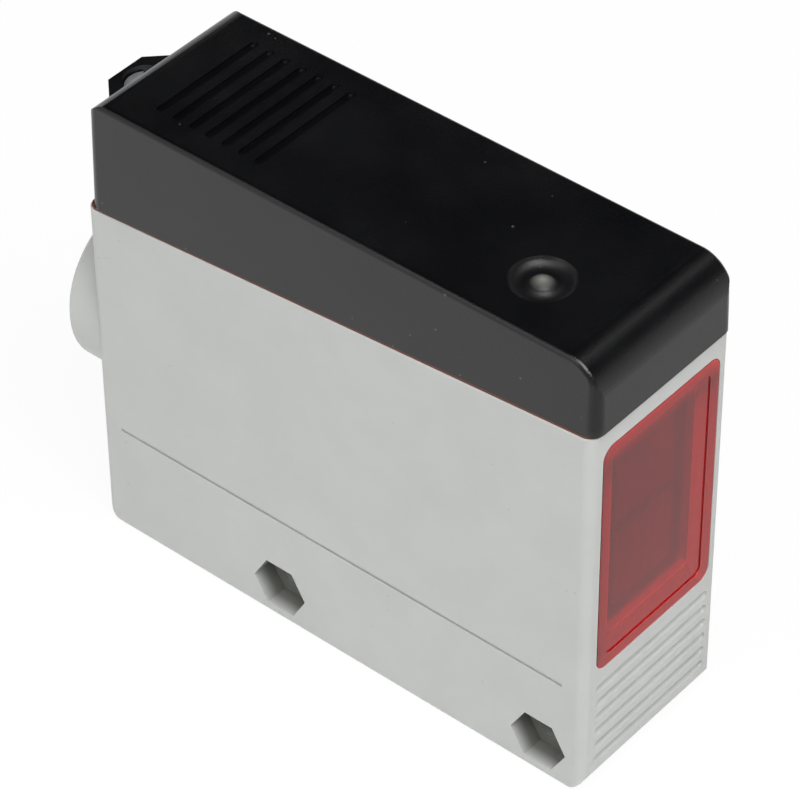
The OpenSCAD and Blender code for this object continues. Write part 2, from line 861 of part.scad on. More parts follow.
// Pin places of each part under the main board, as x and y
relay_pins = [for (x = [relay_x + relay_pin_in, relay_x + relay_l - relay_pin_in],
    y = [relay_y + relay_pin_in, relay_y + relay_w - relay_pin_in]) [x, y]];
can_pins = [for (s = [-1, 1]) [can_x, can_y + s * can_pin_y]];
film_pins = [for (x = [film_x + film_pin_in, film_x + film_l - film_pin_in]) [x, film_y + film_w / 2]];
coil_pins = [for (x = [coil_x + coil_cheek / 2, coil_x + coil_l - coil_cheek / 2], s = [-1, 1])
    [x, s * coil_pin_y]];
header_pins = [for (i = [0 : header_n - 1])
    [header_x + header_l / 2, (i - (header_n - 1) / 2) * header_pitch]];
pole_pins = [for (i = [0 : pole_n - 1])
    [clamp_x + clamp_l + pole_pin_x, (i - (pole_n - 1) / 2) * pole_pitch]];
all_pins = concat(relay_pins, can_pins, film_pins, coil_pins, header_pins, pole_pins);

// Pins that go up through the main board from the part below it
module pins_up(pins) {
    for (p = pins) translate([p[0], p[1], main_z - pin_root])
        cylinder(h = pin_root + board_t + pin_up, r = pin_r);
}

module main_board() {
    color([0.1, 0.35, 0.2]) placed() translate([0, 0, main_z]) linear_extrude(board_t) difference() {
        round_rect(main_back, -main_half, main_front, main_half, main_r);
        for (p = all_pins) translate(p) circle(pin_hole_r);
        for (x = pillar_x, s = [-1, 1]) translate([x, s * pillar_y]) circle(board_screw_d / 2 + fit_gap);
    }
}

module relay() {
    color([0.88, 0.88, 0.85]) placed() union() {
        translate([0, 0, main_z - relay_h]) linear_extrude(relay_h)
            round_rect(relay_x, relay_y, relay_x + relay_l, relay_y + relay_w, relay_r);
        pins_up(relay_pins);
    }
}

module reservoir_capacitor() {
    color([0.12, 0.14, 0.3]) placed() union() {
        translate([can_x, can_y, main_z - can_h]) cylinder(h = can_h - can_neck_h, d = can_d);
        translate([can_x, can_y, main_z - can_neck_h - eps])
            cylinder(h = can_neck_h + eps, r = can_d / 2 - can_neck_in);
        pins_up(can_pins);
    }
}

module film_capacitor() {
    color([0.75, 0.6, 0.15]) placed() union() {
        translate([0, 0, main_z - film_h]) linear_extrude(film_h)
            round_rect(film_x, film_y, film_x + film_l, film_y + film_w, film_r);
        pins_up(film_pins);
    }
}

// Two E-shaped core halves joined as one ring with a middle leg through the coil
module transformer_core() {
    z0 = main_z - coil_h - core_t + coil_rise;
    h = coil_h - coil_rise - core_drop;
    color([0.16, 0.16, 0.17]) placed() difference() {
        mid_box(coil_x + coil_cheek + part_gap, coil_x + coil_l - coil_cheek - part_gap,
            coil_w + 2 * core_t, z0, z0 + h + core_t);
        for (s = [-1, 1]) translate([coil_x, s > 0 ? core_leg / 2 : -coil_w / 2, z0 + core_t])
            cube([coil_l, (coil_w - core_leg) / 2, h - core_t]);
    }
}

// Bobbin and winding round the core's middle leg, on its pins
module transformer_coil() {
    z0 = main_z - coil_h + coil_rise + part_gap;
    z1 = main_z - core_t - core_drop - part_gap;
    color([0.62, 0.4, 0.12]) placed() union() {
        difference() {
            mid_box(coil_x, coil_x + coil_l, coil_w - 2 * part_gap, z0, z1);
            mid_box(coil_x - over, coil_x + coil_l + over, core_leg + 2 * leg_gap, z0 - over, z1 + over);
        }
        for (x = [coil_x, coil_x + coil_l - coil_cheek])
            mid_box(x, x + coil_cheek, coil_w - 2 * part_gap, z0, main_z);
        pins_up(coil_pins);
    }
}

// A flat chip with two rows of legs, lying on z = 0
module chip() {
    translate([-chip_l / 2, -chip_w / 2, chip_up]) cube([chip_l, chip_w, chip_t]);
    for (i = [0 : chip_legs - 1]) mid_box((i - (chip_legs - 1) / 2) * chip_pitch - leg_w / 2,
        (i - (chip_legs - 1) / 2) * chip_pitch + leg_w / 2, chip_w + 2 * leg_out, 0, leg_t);
}

module controller_chip() {
    color([0.09, 0.09, 0.1]) placed() translate([controller_x, 0, main_top]) chip();
}

module signal_chip() {
    color([0.09, 0.09, 0.1]) placed() translate([optics_board_x, 0, signal_z]) rotate([0, -90, 0]) chip();
}

module shield_can() {
    color([0.75, 0.76, 0.77]) placed() difference() {
        along(optics_board_x - shield_d, optics_board_x)
            mid_rect(0, shield_z + shield_h / 2, shield_w, shield_h, shield_r);
        along(optics_board_x - shield_d + shield_t, optics_board_x + over) mid_rect(0,
            shield_z + shield_h / 2, shield_w - 2 * shield_t, shield_h - 2 * shield_t, shield_r - shield_t);
        for (i = [-1 : 1], s = [-1, 1]) rod_x(optics_board_x - shield_d - over,
            optics_board_x - shield_d + over / 2, i * shield_hole_pitch,
            shield_z + shield_h / 2 + s * shield_hole_pitch, shield_hole_r);
    }
}

// Repeats its children at each terminal
module each_pole() {
    for (i = [0 : pole_n - 1]) translate([0, (i - (pole_n - 1) / 2) * pole_pitch, 0]) children();
}

module terminal_block() {
    color([0.16, 0.4, 0.26]) placed() union() {
        difference() {
            mid_box(block_pole_x, block_pole_x + pole_block_l, pole_block_w, main_top,
                main_top + pole_block_h);
            each_pole() {
                mid_box(block_pole_x - over, clamp_x + eps, clamp_w - clamp_gap,
                    clamp_z + clamp_wall / 2, clamp_z + clamp_wall / 2 + wire_h);
                mid_box(clamp_x, clamp_x + clamp_l, clamp_w + clamp_gap, clamp_z,
                    clamp_z + clamp_h + clamp_room);
                translate([clamp_x + clamp_l / 2, 0, clamp_z]) cylinder(h = pole_block_h, r = driver_r);
            }
            // Room under the block, between its two feet, for the solder joints of the parts below
            mid_box(block_pole_x + pole_foot_l, block_pole_x + pole_block_l - pole_foot_l, body_w,
                main_top - over, main_top + pole_foot_h);
            // Chamfered front edge over the solder pins
            across() polygon([for (p = [[0, -1], [1, -1], [1, 1], [-1, 1], [-1, 0]])
                [block_pole_x + pole_block_l, main_top + pole_block_h] + pole_chamfer * p]);
        }
        for (p = pole_pins) translate([p[0], p[1], main_z])
            cylinder(h = board_t + pole_foot_h + pin_root / 2, r = pin_r);
    }
}

// Brass cage clamps, one in each terminal
module terminal_clamps() {
    color([0.8, 0.66, 0.3]) placed() each_pole() difference() {
        mid_box(clamp_x + clamp_side, clamp_x + clamp_l - clamp_side, clamp_w - clamp_side, clamp_z,
            clamp_z + clamp_h);
        mid_box(clamp_x - over, clamp_x + clamp_l + over, clamp_w - clamp_side - 2 * clamp_wall,
            clamp_z + clamp_wall, clamp_z + wire_h);
        translate([clamp_x + clamp_l / 2, 0, clamp_z + clamp_wall])
            cylinder(h = clamp_h, d = terminal_screw_d + 2 * hole_gap);
    }
}

module terminal_screws() {
    color([0.72, 0.74, 0.76]) placed() each_pole()
        translate([clamp_x + clamp_l / 2, 0, clamp_z + clamp_h + clamp_room + clamp_gap])
            slotted_screw(terminal_screw_d, terminal_screw_l, terminal_head_r, terminal_head_h,
                terminal_slot_w, terminal_slot_d);
}

module link_header() {
    color([0.09, 0.09, 0.1]) placed() difference() {
        mid_box(header_x, header_x + header_l, header_n * header_pitch, main_z - header_h, main_z);
        for (p = header_pins) {
            translate([p[0], p[1], main_z - header_h / 2]) cylinder(h = header_h, r = pin_r + hole_gap);
            rod_x(p[0] - pin_r - hole_gap, header_x + header_l + over, p[1], main_z - header_h / 2,
                pin_r + hole_gap);
        }
    }
}

// Bent pins that join the two boards
module link_pins() {
    color([0.8, 0.7, 0.4]) placed() for (p = header_pins) {
        translate([p[0], p[1], main_z - header_h / 2])
            cylinder(h = header_h / 2 + board_t + pin_up, r = pin_r);
        translate([p[0], p[1], main_z - header_h / 2]) sphere(pin_r);
        rod_x(p[0], block_back - tab_gap, p[1], main_z - header_h / 2, pin_r);
    }
}

module board_screw() {
    slotted_screw(board_screw_d, board_screw_l, board_head_r, board_head_h, board_slot_w, board_slot_d);
}

// Four screws down into the pillars and two forward into the posts
module board_screws() {
    color([0.72, 0.74, 0.76]) placed() {
        for (x = pillar_x, s = [-1, 1]) translate([x, s * pillar_y, main_top]) board_screw();
        for (s = [-1, 1]) translate([optics_board_x, s * post_y, post_z]) rotate([0, -90, 0])
            board_screw();
    }
}

housing();
cover();
cover_gasket();
cover_screw();
front_window();
optics_block();
emitter_lens();
receiver_lens();
emitter_polariser();
receiver_polariser();
emitter_led();
receiver_diode();
optics_board();
indicator_board();
status_led();
light_guide();
main_board();
relay();
reservoir_capacitor();
film_capacitor();
transformer_core();
transformer_coil();
controller_chip();
signal_chip();
shield_can();
terminal_block();
terminal_clamps();
terminal_screws();
link_header();
link_pins();
board_screws();
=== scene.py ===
import json
import math
import bmesh
import bpy
from mathutils import Matrix, Vector


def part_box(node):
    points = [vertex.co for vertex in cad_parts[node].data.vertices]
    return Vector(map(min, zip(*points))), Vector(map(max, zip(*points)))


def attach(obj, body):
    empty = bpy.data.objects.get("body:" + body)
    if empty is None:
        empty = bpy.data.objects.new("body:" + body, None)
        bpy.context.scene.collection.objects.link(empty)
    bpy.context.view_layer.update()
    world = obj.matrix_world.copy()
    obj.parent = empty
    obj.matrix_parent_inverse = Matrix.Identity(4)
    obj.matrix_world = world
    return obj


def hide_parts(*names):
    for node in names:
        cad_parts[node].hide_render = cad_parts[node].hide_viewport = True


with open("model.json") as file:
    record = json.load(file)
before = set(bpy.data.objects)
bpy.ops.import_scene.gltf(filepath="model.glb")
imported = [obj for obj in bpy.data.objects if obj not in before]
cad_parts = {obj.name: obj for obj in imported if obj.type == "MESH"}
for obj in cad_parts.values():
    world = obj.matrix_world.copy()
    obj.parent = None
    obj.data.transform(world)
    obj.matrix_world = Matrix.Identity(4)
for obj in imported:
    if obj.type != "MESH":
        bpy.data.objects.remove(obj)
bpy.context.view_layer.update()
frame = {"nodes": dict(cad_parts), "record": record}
nodes = frame["nodes"]
mounts = {mount["name"]: mount for mount in frame["record"]["mounts"]}

MM = 0.001

# Camera, solved from the photograph's own edges
CAMERA_PLACE = (0.237472, -0.27592, 0.353472)
CAMERA_AZIMUTH = 40.4301
CAMERA_ELEVATION = 41.5852
CAMERA_ROLL = -0.5512
CAMERA_LENS = 185.591
CAMERA_SENSOR = 36.0
CAMERA_NEAR = 0.01

# Threaded cable entry. Its core and place are the record's
ENTRY_HEIGHT = mounts["cable_entry"]["pos_m"][2]
ENTRY_CORE_R = mounts["cable_entry"]["dims"]["r_mm"] * MM
ENTRY_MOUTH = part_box("housing")[0][0]
ENTRY_LENGTH = 9.4 * MM
ENTRY_ROOT_R = 10.02 * MM
BORE_END_SLACK = 0.1 * MM
BORE_R_SLACK = 0.04 * MM
THREAD_PITCH = 1.5 * MM
THREAD_STEPS = 60
THREAD_MARGIN = 0.25 * MM
RIDGE_FOOT = 0.64 * MM
RIDGE_CREST = 0.19 * MM
RIDGE_SINK = 0.05 * MM

# Nut pockets of the two cross holes, with painted shade deep inside them
HOLE_MIDDLE_X, _, HOLE_HEIGHT = mounts["cross_holes"]["pos_m"]
HOLE_SPACING = mounts["cross_holes"]["dims"]["spacing_x_mm"] * MM
POCKET_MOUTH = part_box("housing")[0][1]
POCKET_DEPTH = 3.1 * MM
POCKET_REACH = 4.3 * MM
POCKET_SLACK = 0.05 * MM
POCKET_SHADE_TONE = (0.2, 0.2, 0.185)
POCKET_SHADE_FROM = 0.1 * MM
POCKET_SHADE_FULL = 0.6 * POCKET_DEPTH

# Window plate with its moulded step, and the ledge and opening behind it. Painted shade darkens the step
# and the opening, painted light brightens the ledge, and a painted glow lies along the plate's top edge
WINDOW_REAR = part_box("front_window")[0][0]
WINDOW_FRONT, WINDOW_HALF, WINDOW_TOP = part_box("front_window")[1]
WINDOW_TONE = (0.98, 0.012, 0.012)
WINDOW_STEP = 0.25 * MM
WINDOW_STEP_SHOWN = 0.15 * MM
STEP_SLACK = 0.01 * MM
STEP_MARGIN = 0.03
STEP_SHADE_SHARE = 0.25
REAR_FADE = 0.3 * MM
EDGE_GLOW_REACH = 3.2 * MM
EDGE_GLOW_FULL = 0.4
LEDGE_HALF = 0.06 * MM
LEDGE_LIGHT_TONE = (0.74, 0.74, 0.72)
OPENING_DEPTH = 3 * MM
OPENING_SHADE_TONE = (0.24, 0.24, 0.23)

# Dome of the cover, a thin skin over the light guide, with a painted highlight on its crown, and the
# valley round it
DOME = sum(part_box("light_guide"), Vector()) / 2
DOME_HIGHLIGHT_R = 1.55 * MM
DOME_FLAT_R = 0.1 * DOME_HIGHLIGHT_R
DOME_FADE = 1.3
DOME_HIGHLIGHT_TONE = (0.18, 0.18, 0.165)
VALLEY_R = 3.9 * MM
VALLEY_EDGE = 0.9 * VALLEY_R
VALLEY_DULLNESS = 0.14

# Edge softening of the moulded pieces
MERGE_DISTANCE = 1e-7
SHARP_ANGLE = math.radians(28)
SMOOTH_ANGLE = math.radians(32)
FLAT_ANGLE = math.radians(0.5)
BEVEL_SEGMENTS = 2
HOUSING_EDGE = 0.1 * MM
COVER_EDGE = 0.08 * MM
WINDOW_EDGE = 0.03 * MM

# Ranges that hold most of a noise's values
TONE_RANGE = (0.3, 0.7)
PATCH_RANGE = (0.35, 0.65)

# Floor and its sweep. Each step of the sweep goes so far out and so far up
FLOOR_R = 2.6
FLOOR_SIDES = 96
SWEEP_RISE = 1.2
SWEEP_STEPS = ((0.15, 0.05), (0.1, 0.2), (0.05, 0.35), (0.0, SWEEP_RISE - 0.6))
FLOOR_GLOW = 0.93
SWEEP_WHITE = 0.35
SWEEP_DARK = 0.1
FRONT_REACH = 60 * MM
FRONT_GLOW = 0.72
WORLD_FILL = 0.22
WORLD_SHOWN = 0.02

# Lamps, aimed at the object's middle: azimuth, elevation, distance, size and power
LAMP_AIM = Vector((0, 0, 30 * MM))
LAMPS = {
    "left_box": (-16, 42, 0.7, 0.5, 1.42),
    "right_box": (66, 60, 0.7, 0.45, 4.95),
    "back_box": (160, 53, 1.0, 0.16, 0.25),
}


# Node helpers

def add(tree, kind, settings=None, wires=None):
    """Adds a node. Each wire is a socket's plain value, or the output that feeds it."""
    made = tree.nodes.new(kind)
    for key, value in (settings or {}).items():
        setattr(made, key, value)
    for key, value in (wires or {}).items():
        connect(tree, value, made.inputs[key])
    return made


def connect(tree, value, socket):
    if isinstance(value, bpy.types.NodeSocket):
        tree.links.new(value, socket)
    else:
        socket.default_value = value


def math_node(tree, operation, *values):
    return add(tree, "ShaderNodeMath", {"operation": operation}, dict(enumerate(values))).outputs[0]


def spread(tree, value, low, high, out_low=0.0, out_high=1.0):
    """Maps a value from one range to another, and holds it at the ends."""
    return add(tree, "ShaderNodeMapRange", None, {
        "Value": value, "From Min": low, "From Max": high,
        "To Min": out_low, "To Max": out_high}).outputs["Result"]


def coordinates(tree, vector):
    return add(tree, "ShaderNodeSeparateXYZ", None, {0: vector}).outputs


def distance_from(tree, across, up, centre):
    """Distance from a line, given by two coordinates of its place."""
    squares = [math_node(tree, "POWER", math_node(tree, "SUBTRACT", value, place), 2.0)
               for value, place in zip((across, up), centre)]
    return math_node(tree, "SQRT", math_node(tree, "ADD", *squares))


def colour(r, g, b):
    return (r, g, b, 1.0)


WHITE = colour(1, 1, 1)
BLACK = colour(0, 0, 0)


def blend_colours(tree, share, a, b):
    made = add(tree, "ShaderNodeMix", {"data_type": "RGBA"})
    for name, value in (("Factor_Float", share), ("A_Color", a), ("B_Color", b)):
        connect(tree, value, next(s for s in made.inputs if s.identifier == name))
    return next(s for s in made.outputs if s.identifier == "Result_Color")


def blend_shaders(tree, share, first, second, output="Material Output"):
    """Mixes two shaders onto the output node."""
    mixed = add(tree, "ShaderNodeMixShader", None,
                {0: share, 1: first.outputs[0], 2: second.outputs[0]})
    tree.links.new(mixed.outputs[0], tree.nodes[output].inputs["Surface"])


def in_gloss_or_glass(tree, path):
    """1 where gloss or glass shows the surface, and 0 elsewhere."""
    return math_node(tree, "MAXIMUM", path.outputs["Is Glossy Ray"],
                     path.outputs["Is Transmission Ray"])


# Shared effects

def new_group(name, inputs, outputs):
    """A node group with a vector input, plain number inputs and number outputs."""
    tree = bpy.data.node_groups.new(name, "ShaderNodeTree")
    tree.interface.new_socket("Vector", in_out="INPUT", socket_type="NodeSocketVector")
    for title, value in inputs.items():
        socket = tree.interface.new_socket(title, in_out="INPUT", socket_type="NodeSocketFloat")
        socket.default_value = value
    for title in outputs:
        tree.interface.new_socket(title, in_out="OUTPUT", socket_type="NodeSocketFloat")
    return tree, tree.nodes.new("NodeGroupInput"), tree.nodes.new("NodeGroupOutput")


def scaled(tree, vector, size):
    """The vector in units of the given size."""
    share = math_node(tree, "DIVIDE", 1.0, size)
    return add(tree, "ShaderNodeVectorMath", {"operation": "SCALE"},
               {"Vector": vector, "Scale": share}).outputs["Vector"]


def make_grain_group():
    """Fine moulded grain: a height for bump, and a slow tone for colour and gloss."""
    tree, inp, out = new_group("moulded_grain", {"Size": 0.15 * MM, "Patch": 9 * MM},
                               ["Height", "Tone"])
    fine = scaled(tree, inp.outputs["Vector"], inp.outputs["Size"])
    noise = add(tree, "ShaderNodeTexNoise", None,
                {"Vector": fine, "Scale": 1.0, "Detail": 3.0, "Roughness": 0.6}).outputs[0]
    cells = add(tree, "ShaderNodeTexVoronoi", {"feature": "SMOOTH_F1"},
                {"Vector": fine, "Scale": 0.8, "Smoothness": 0.6}).outputs["Distance"]
    height = math_node(tree, "ADD", noise, math_node(tree, "MULTIPLY", cells, 0.5))
    tree.links.new(height, out.inputs["Height"])
    slow = scaled(tree, inp.outputs["Vector"], inp.outputs["Patch"])
    patches = add(tree, "ShaderNodeTexNoise", None,
                  {"Vector": slow, "Scale": 1.0, "Detail": 4.0, "Roughness": 0.55}).outputs[0]
    tree.links.new(patches, out.inputs["Tone"])
    return tree


def make_speck_group():
    """Scattered specks of dust or pits: a mask that is 1 on a speck."""
    tree, inp, out = new_group("specks", {"Spacing": 1.2 * MM, "Share": 0.2, "Reach": 0.12}, ["Mask"])
    vector = scaled(tree, inp.outputs["Vector"], inp.outputs["Spacing"])
    cells = add(tree, "ShaderNodeTexVoronoi", None, {"Vector": vector, "Scale": 1.0, "Randomness": 1.0})
    chance = add(tree, "ShaderNodeSeparateColor", None, {"Color": cells.outputs["Color"]})
    chosen = math_node(tree, "LESS_THAN", chance.outputs[0], inp.outputs["Share"])
    reach = math_node(tree, "MULTIPLY", inp.outputs["Reach"],
                      math_node(tree, "ADD", chance.outputs[1], 0.35))
    near = math_node(tree, "LESS_THAN", cells.outputs["Distance"], reach)
    tree.links.new(math_node(tree, "MULTIPLY", chosen, near), out.inputs["Mask"])
    return tree


def make_turned_group():
    """Fine rings left by turning, round the Z axis through the vector's zero."""
    tree, inp, out = new_group("turned_rings", {"Pitch": 0.12 * MM}, ["Height", "Tone"])
    x, y, _ = coordinates(tree, inp.outputs["Vector"])
    radius = distance_from(tree, x, y, (0.0, 0.0))
    turns = math_node(tree, "DIVIDE", radius, inp.outputs["Pitch"])
    rings = add(tree, "ShaderNodeTexNoise", {"noise_dimensions": "1D"},
                {"W": turns, "Scale": 1.0, "Detail": 2.0}).outputs[0]
    tree.links.new(rings, out.inputs["Height"])
    tree.links.new(rings, out.inputs["Tone"])
    return tree


GRAIN = make_grain_group()
SPECKS = make_speck_group()
TURNED = make_turned_group()


# Materials

def grouped(tree, group, wires):
    return add(tree, "ShaderNodeGroup", {"node_tree": group}, wires)


def object_vector(tree, centre=(0, 0, 0)):
    """Object coordinates, with their zero moved to a centre."""
    place = add(tree, "ShaderNodeTexCoord").outputs["Object"]
    if not any(centre):
        return place
    return add(tree, "ShaderNodeMapping", None,
               {"Vector": place, "Location": [-c for c in centre]}).outputs["Vector"]


def start_material(name, **sockets):
    """A material with plain values on its shader's sockets."""
    made = bpy.data.materials.new(name)
    made.use_nodes = True
    shader = made.node_tree.nodes["Principled BSDF"]
    for key, value in sockets.items():
        shader.inputs[key.replace("_", " ")].default_value = value
    return made, made.node_tree, shader


def finish(tree, shader, base, gloss, height, depth):
    """Gives the shader its colour and its roughness, and the depth of its bumps."""
    tree.links.new(base, shader.inputs["Base Color"])
    tree.links.new(gloss, shader.inputs["Roughness"])
    bumps = add(tree, "ShaderNodeBump", None, {"Height": height, "Distance": depth})
    tree.links.new(bumps.outputs["Normal"], shader.inputs["Normal"])


def moulded_plastic(name, tone, other_tone, roughness, grain, depth,
                    speck_tone=None, speck_share=0.0, places=None):
    """Moulded plastic: grain, slow changes of tone and gloss, and a few specks.

    Places is a function that changes the tone and the gloss at some places of the piece.
    """
    made, tree, shader = start_material(name)
    vector = object_vector(tree)
    texture = grouped(tree, GRAIN, {"Vector": vector, "Size": grain})
    slow = spread(tree, texture.outputs["Tone"], *PATCH_RANGE)
    base = blend_colours(tree, slow, colour(*tone), colour(*other_tone))
    if speck_tone:
        mask = grouped(tree, SPECKS, {"Vector": vector, "Share": speck_share}).outputs["Mask"]
        base = blend_colours(tree, mask, base, colour(*speck_tone))
    gloss = spread(tree, texture.outputs["Tone"], *TONE_RANGE, *roughness)
    if places:
        base, gloss = places(tree, vector, base, gloss)
    finish(tree, shader, base, gloss, texture.outputs["Height"], depth)
    return made


def housing_places(tree, vector, base, gloss):
    """Painted shade deep in the nut pockets and in the window's opening, and painted light on the
    window's ledge.
    """
    x, y, z = coordinates(tree, vector)
    # Painted shade: the tone grows darker with depth in the nut pockets
    along = math_node(tree, "ABSOLUTE", math_node(tree, "SUBTRACT", x, HOLE_MIDDLE_X))
    reach = distance_from(tree, along, z, (HOLE_SPACING / 2, HOLE_HEIGHT))
    near = math_node(tree, "LESS_THAN", reach, POCKET_REACH)
    deep = spread(tree, y, POCKET_MOUTH + POCKET_SHADE_FROM, POCKET_MOUTH + POCKET_SHADE_FULL)
    before_bore = math_node(tree, "LESS_THAN", y, POCKET_MOUTH + POCKET_DEPTH + POCKET_SLACK)
    pocket_shade = math_node(tree, "MULTIPLY", math_node(tree, "MULTIPLY", near, deep), before_bore)
    base = blend_colours(tree, pocket_shade, base, colour(*POCKET_SHADE_TONE))
    # Painted shade in the window's opening, and painted light on the ledge behind the plate
    within = math_node(tree, "COMPARE", y, 0.0, WINDOW_HALF)
    opening = (WINDOW_REAR - OPENING_DEPTH / 2, OPENING_DEPTH / 2, OPENING_SHADE_TONE)
    for middle, half, tone in (opening, (WINDOW_REAR, LEDGE_HALF, LEDGE_LIGHT_TONE)):
        behind = math_node(tree, "COMPARE", x, middle, half)
        base = blend_colours(tree, math_node(tree, "MULTIPLY", behind, within), base, colour(*tone))
    return base, gloss


def cover_places(tree, vector, base, gloss):
    """Painted highlight: lighter towards the dome's crown. The dome and its valley
    are a little duller than the top."""
    x, y, _ = coordinates(tree, vector)
    reach = distance_from(tree, x, y, (DOME.x, DOME.y))
    # Painted highlight on the dome's crown
    crown = math_node(tree, "POWER", spread(tree, reach, DOME_FLAT_R, DOME_HIGHLIGHT_R, 1.0, 0.0), DOME_FADE)
    base = blend_colours(tree, crown, base, colour(*DOME_HIGHLIGHT_TONE))
    duller = spread(tree, reach, VALLEY_EDGE, VALLEY_R, VALLEY_DULLNESS, 0.0)
    return base, math_node(tree, "ADD", gloss, duller)


def turned_metal(name, tone, centre=(0, 0, 0), roughness=(0.22, 0.36), pitch=0.3 * MM):
    """Turned and plated metal, with rings round its axis."""
    made, tree, shader = start_material(name, Metallic=1.0)
    vector = object_vector(tree, centre)
    rings = grouped(tree, TURNED, {"Vector": vector, "Pitch": pitch})
    grain = grouped(tree, GRAIN, {"Vector": vector, "Size": 0.3 * MM, "Patch": 2 * MM})
    darker = [0.72 * c for c in tone]
    slow = spread(tree, grain.outputs["Tone"], *TONE_RANGE)
    base = blend_colours(tree, slow, colour(*tone), colour(*darker))
    gloss = spread(tree, rings.outputs["Tone"], *TONE_RANGE, *roughness)
    finish(tree, shader, base, gloss, rings.outputs["Height"], 0.004 * MM)
    return made


def clear_plastic(name, tone, roughness, ior, dust=0.03, rear=None, step=None, edge=None):
    """Polished clear plastic with a very light film of dust. It casts a coloured shadow, not a black one.

    The rear is the X of a face that is left a little rough, and how rough. The step is the X range of
    a moulded step, where painted shade makes the plastic darker. The edge is the Z of a top edge, and
    the tone of a painted glow below it, standing in for light that the straight rays of the lamps leave
    out.
    """
    made, tree, shader = start_material(name, Base_Color=colour(*tone), Transmission_Weight=1.0, IOR=ior)
    vector = object_vector(tree)
    texture = grouped(tree, GRAIN, {"Vector": vector, "Size": 0.5 * MM, "Patch": 6 * MM})
    gloss = spread(tree, texture.outputs["Tone"], *TONE_RANGE, roughness, roughness + dust)
    along, _, height = coordinates(tree, vector)
    # Painted glow, by emission, below the plate's top edge
    if edge:
        top, light = edge
        share = spread(tree, height, top - EDGE_GLOW_REACH, top - EDGE_GLOW_FULL * EDGE_GLOW_REACH)
        tree.links.new(blend_colours(tree, share, BLACK, colour(*light)), shader.inputs["Emission Color"])
        shader.inputs["Emission Strength"].default_value = 1.0
    # Painted shade on the moulded step
    if step:
        middle, half = (step[0] + step[1]) / 2, (step[1] - step[0]) / 2
        step_shade = math_node(tree, "COMPARE", along, middle, half)
        darker = [STEP_SHADE_SHARE * c for c in tone]
        base = blend_colours(tree, step_shade, colour(*tone), colour(*darker))
        tree.links.new(base, shader.inputs["Base Color"])
    if rear:
        face, rougher = rear
        gloss = math_node(tree, "ADD", gloss, spread(tree, along, face, face + REAR_FADE, rougher, 0.0))
    tree.links.new(gloss, shader.inputs["Roughness"])
    # Each light ray crosses two faces of the piece, so each face takes the root of the tone
    passing = add(tree, "ShaderNodeBsdfTransparent", None, {"Color": colour(*[c ** 0.5 for c in tone])})
    path = add(tree, "ShaderNodeLightPath")
    blend_shaders(tree, path.outputs["Is Shadow Ray"], shader, passing)
    return made


def solder_board(name):
    """Green solder resist over copper tracks."""
    made, tree, shader = start_material(name, Coat_Weight=0.3)
    vector = object_vector(tree)
    tracks = add(tree, "ShaderNodeTexBrick", None, {
        "Vector": vector, "Scale": 1.0, "Mortar Size": 0.25 * MM, "Mortar Smooth": 0.2,
        "Brick Width": 3.4 * MM, "Row Height": 1.3 * MM}).outputs["Fac"]
    base = blend_colours(tree, tracks, colour(0.006, 0.07, 0.022), colour(0.02, 0.17, 0.05))
    texture = grouped(tree, GRAIN, {"Vector": vector, "Size": 0.4 * MM, "Patch": 5 * MM})
    gloss = spread(tree, texture.outputs["Tone"], *TONE_RANGE, 0.25, 0.4)
    finish(tree, shader, base, gloss, tracks, 0.03 * MM)
    return made


def wound_wire(name):
    """Enamelled wire, wound in layers."""
    made, tree, shader = start_material(name, Metallic=0.8)
    wires = add(tree, "ShaderNodeTexWave", {"wave_type": "BANDS", "bands_direction": "Z"}, {
        "Vector": object_vector(tree), "Scale": 1.0 / (1.2 * MM), "Distortion": 0.6,
        "Detail": 1.0}).outputs["Fac"]
    base = blend_colours(tree, wires, colour(0.12, 0.035, 0.01), colour(0.5, 0.19, 0.06))
    finish(tree, shader, base, spread(tree, wires, 0.0, 1.0, 0.45, 0.25), wires, 0.08 * MM)
    return made


SCREW_AXIS = sum(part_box("cover_screw"), Vector()) / 2

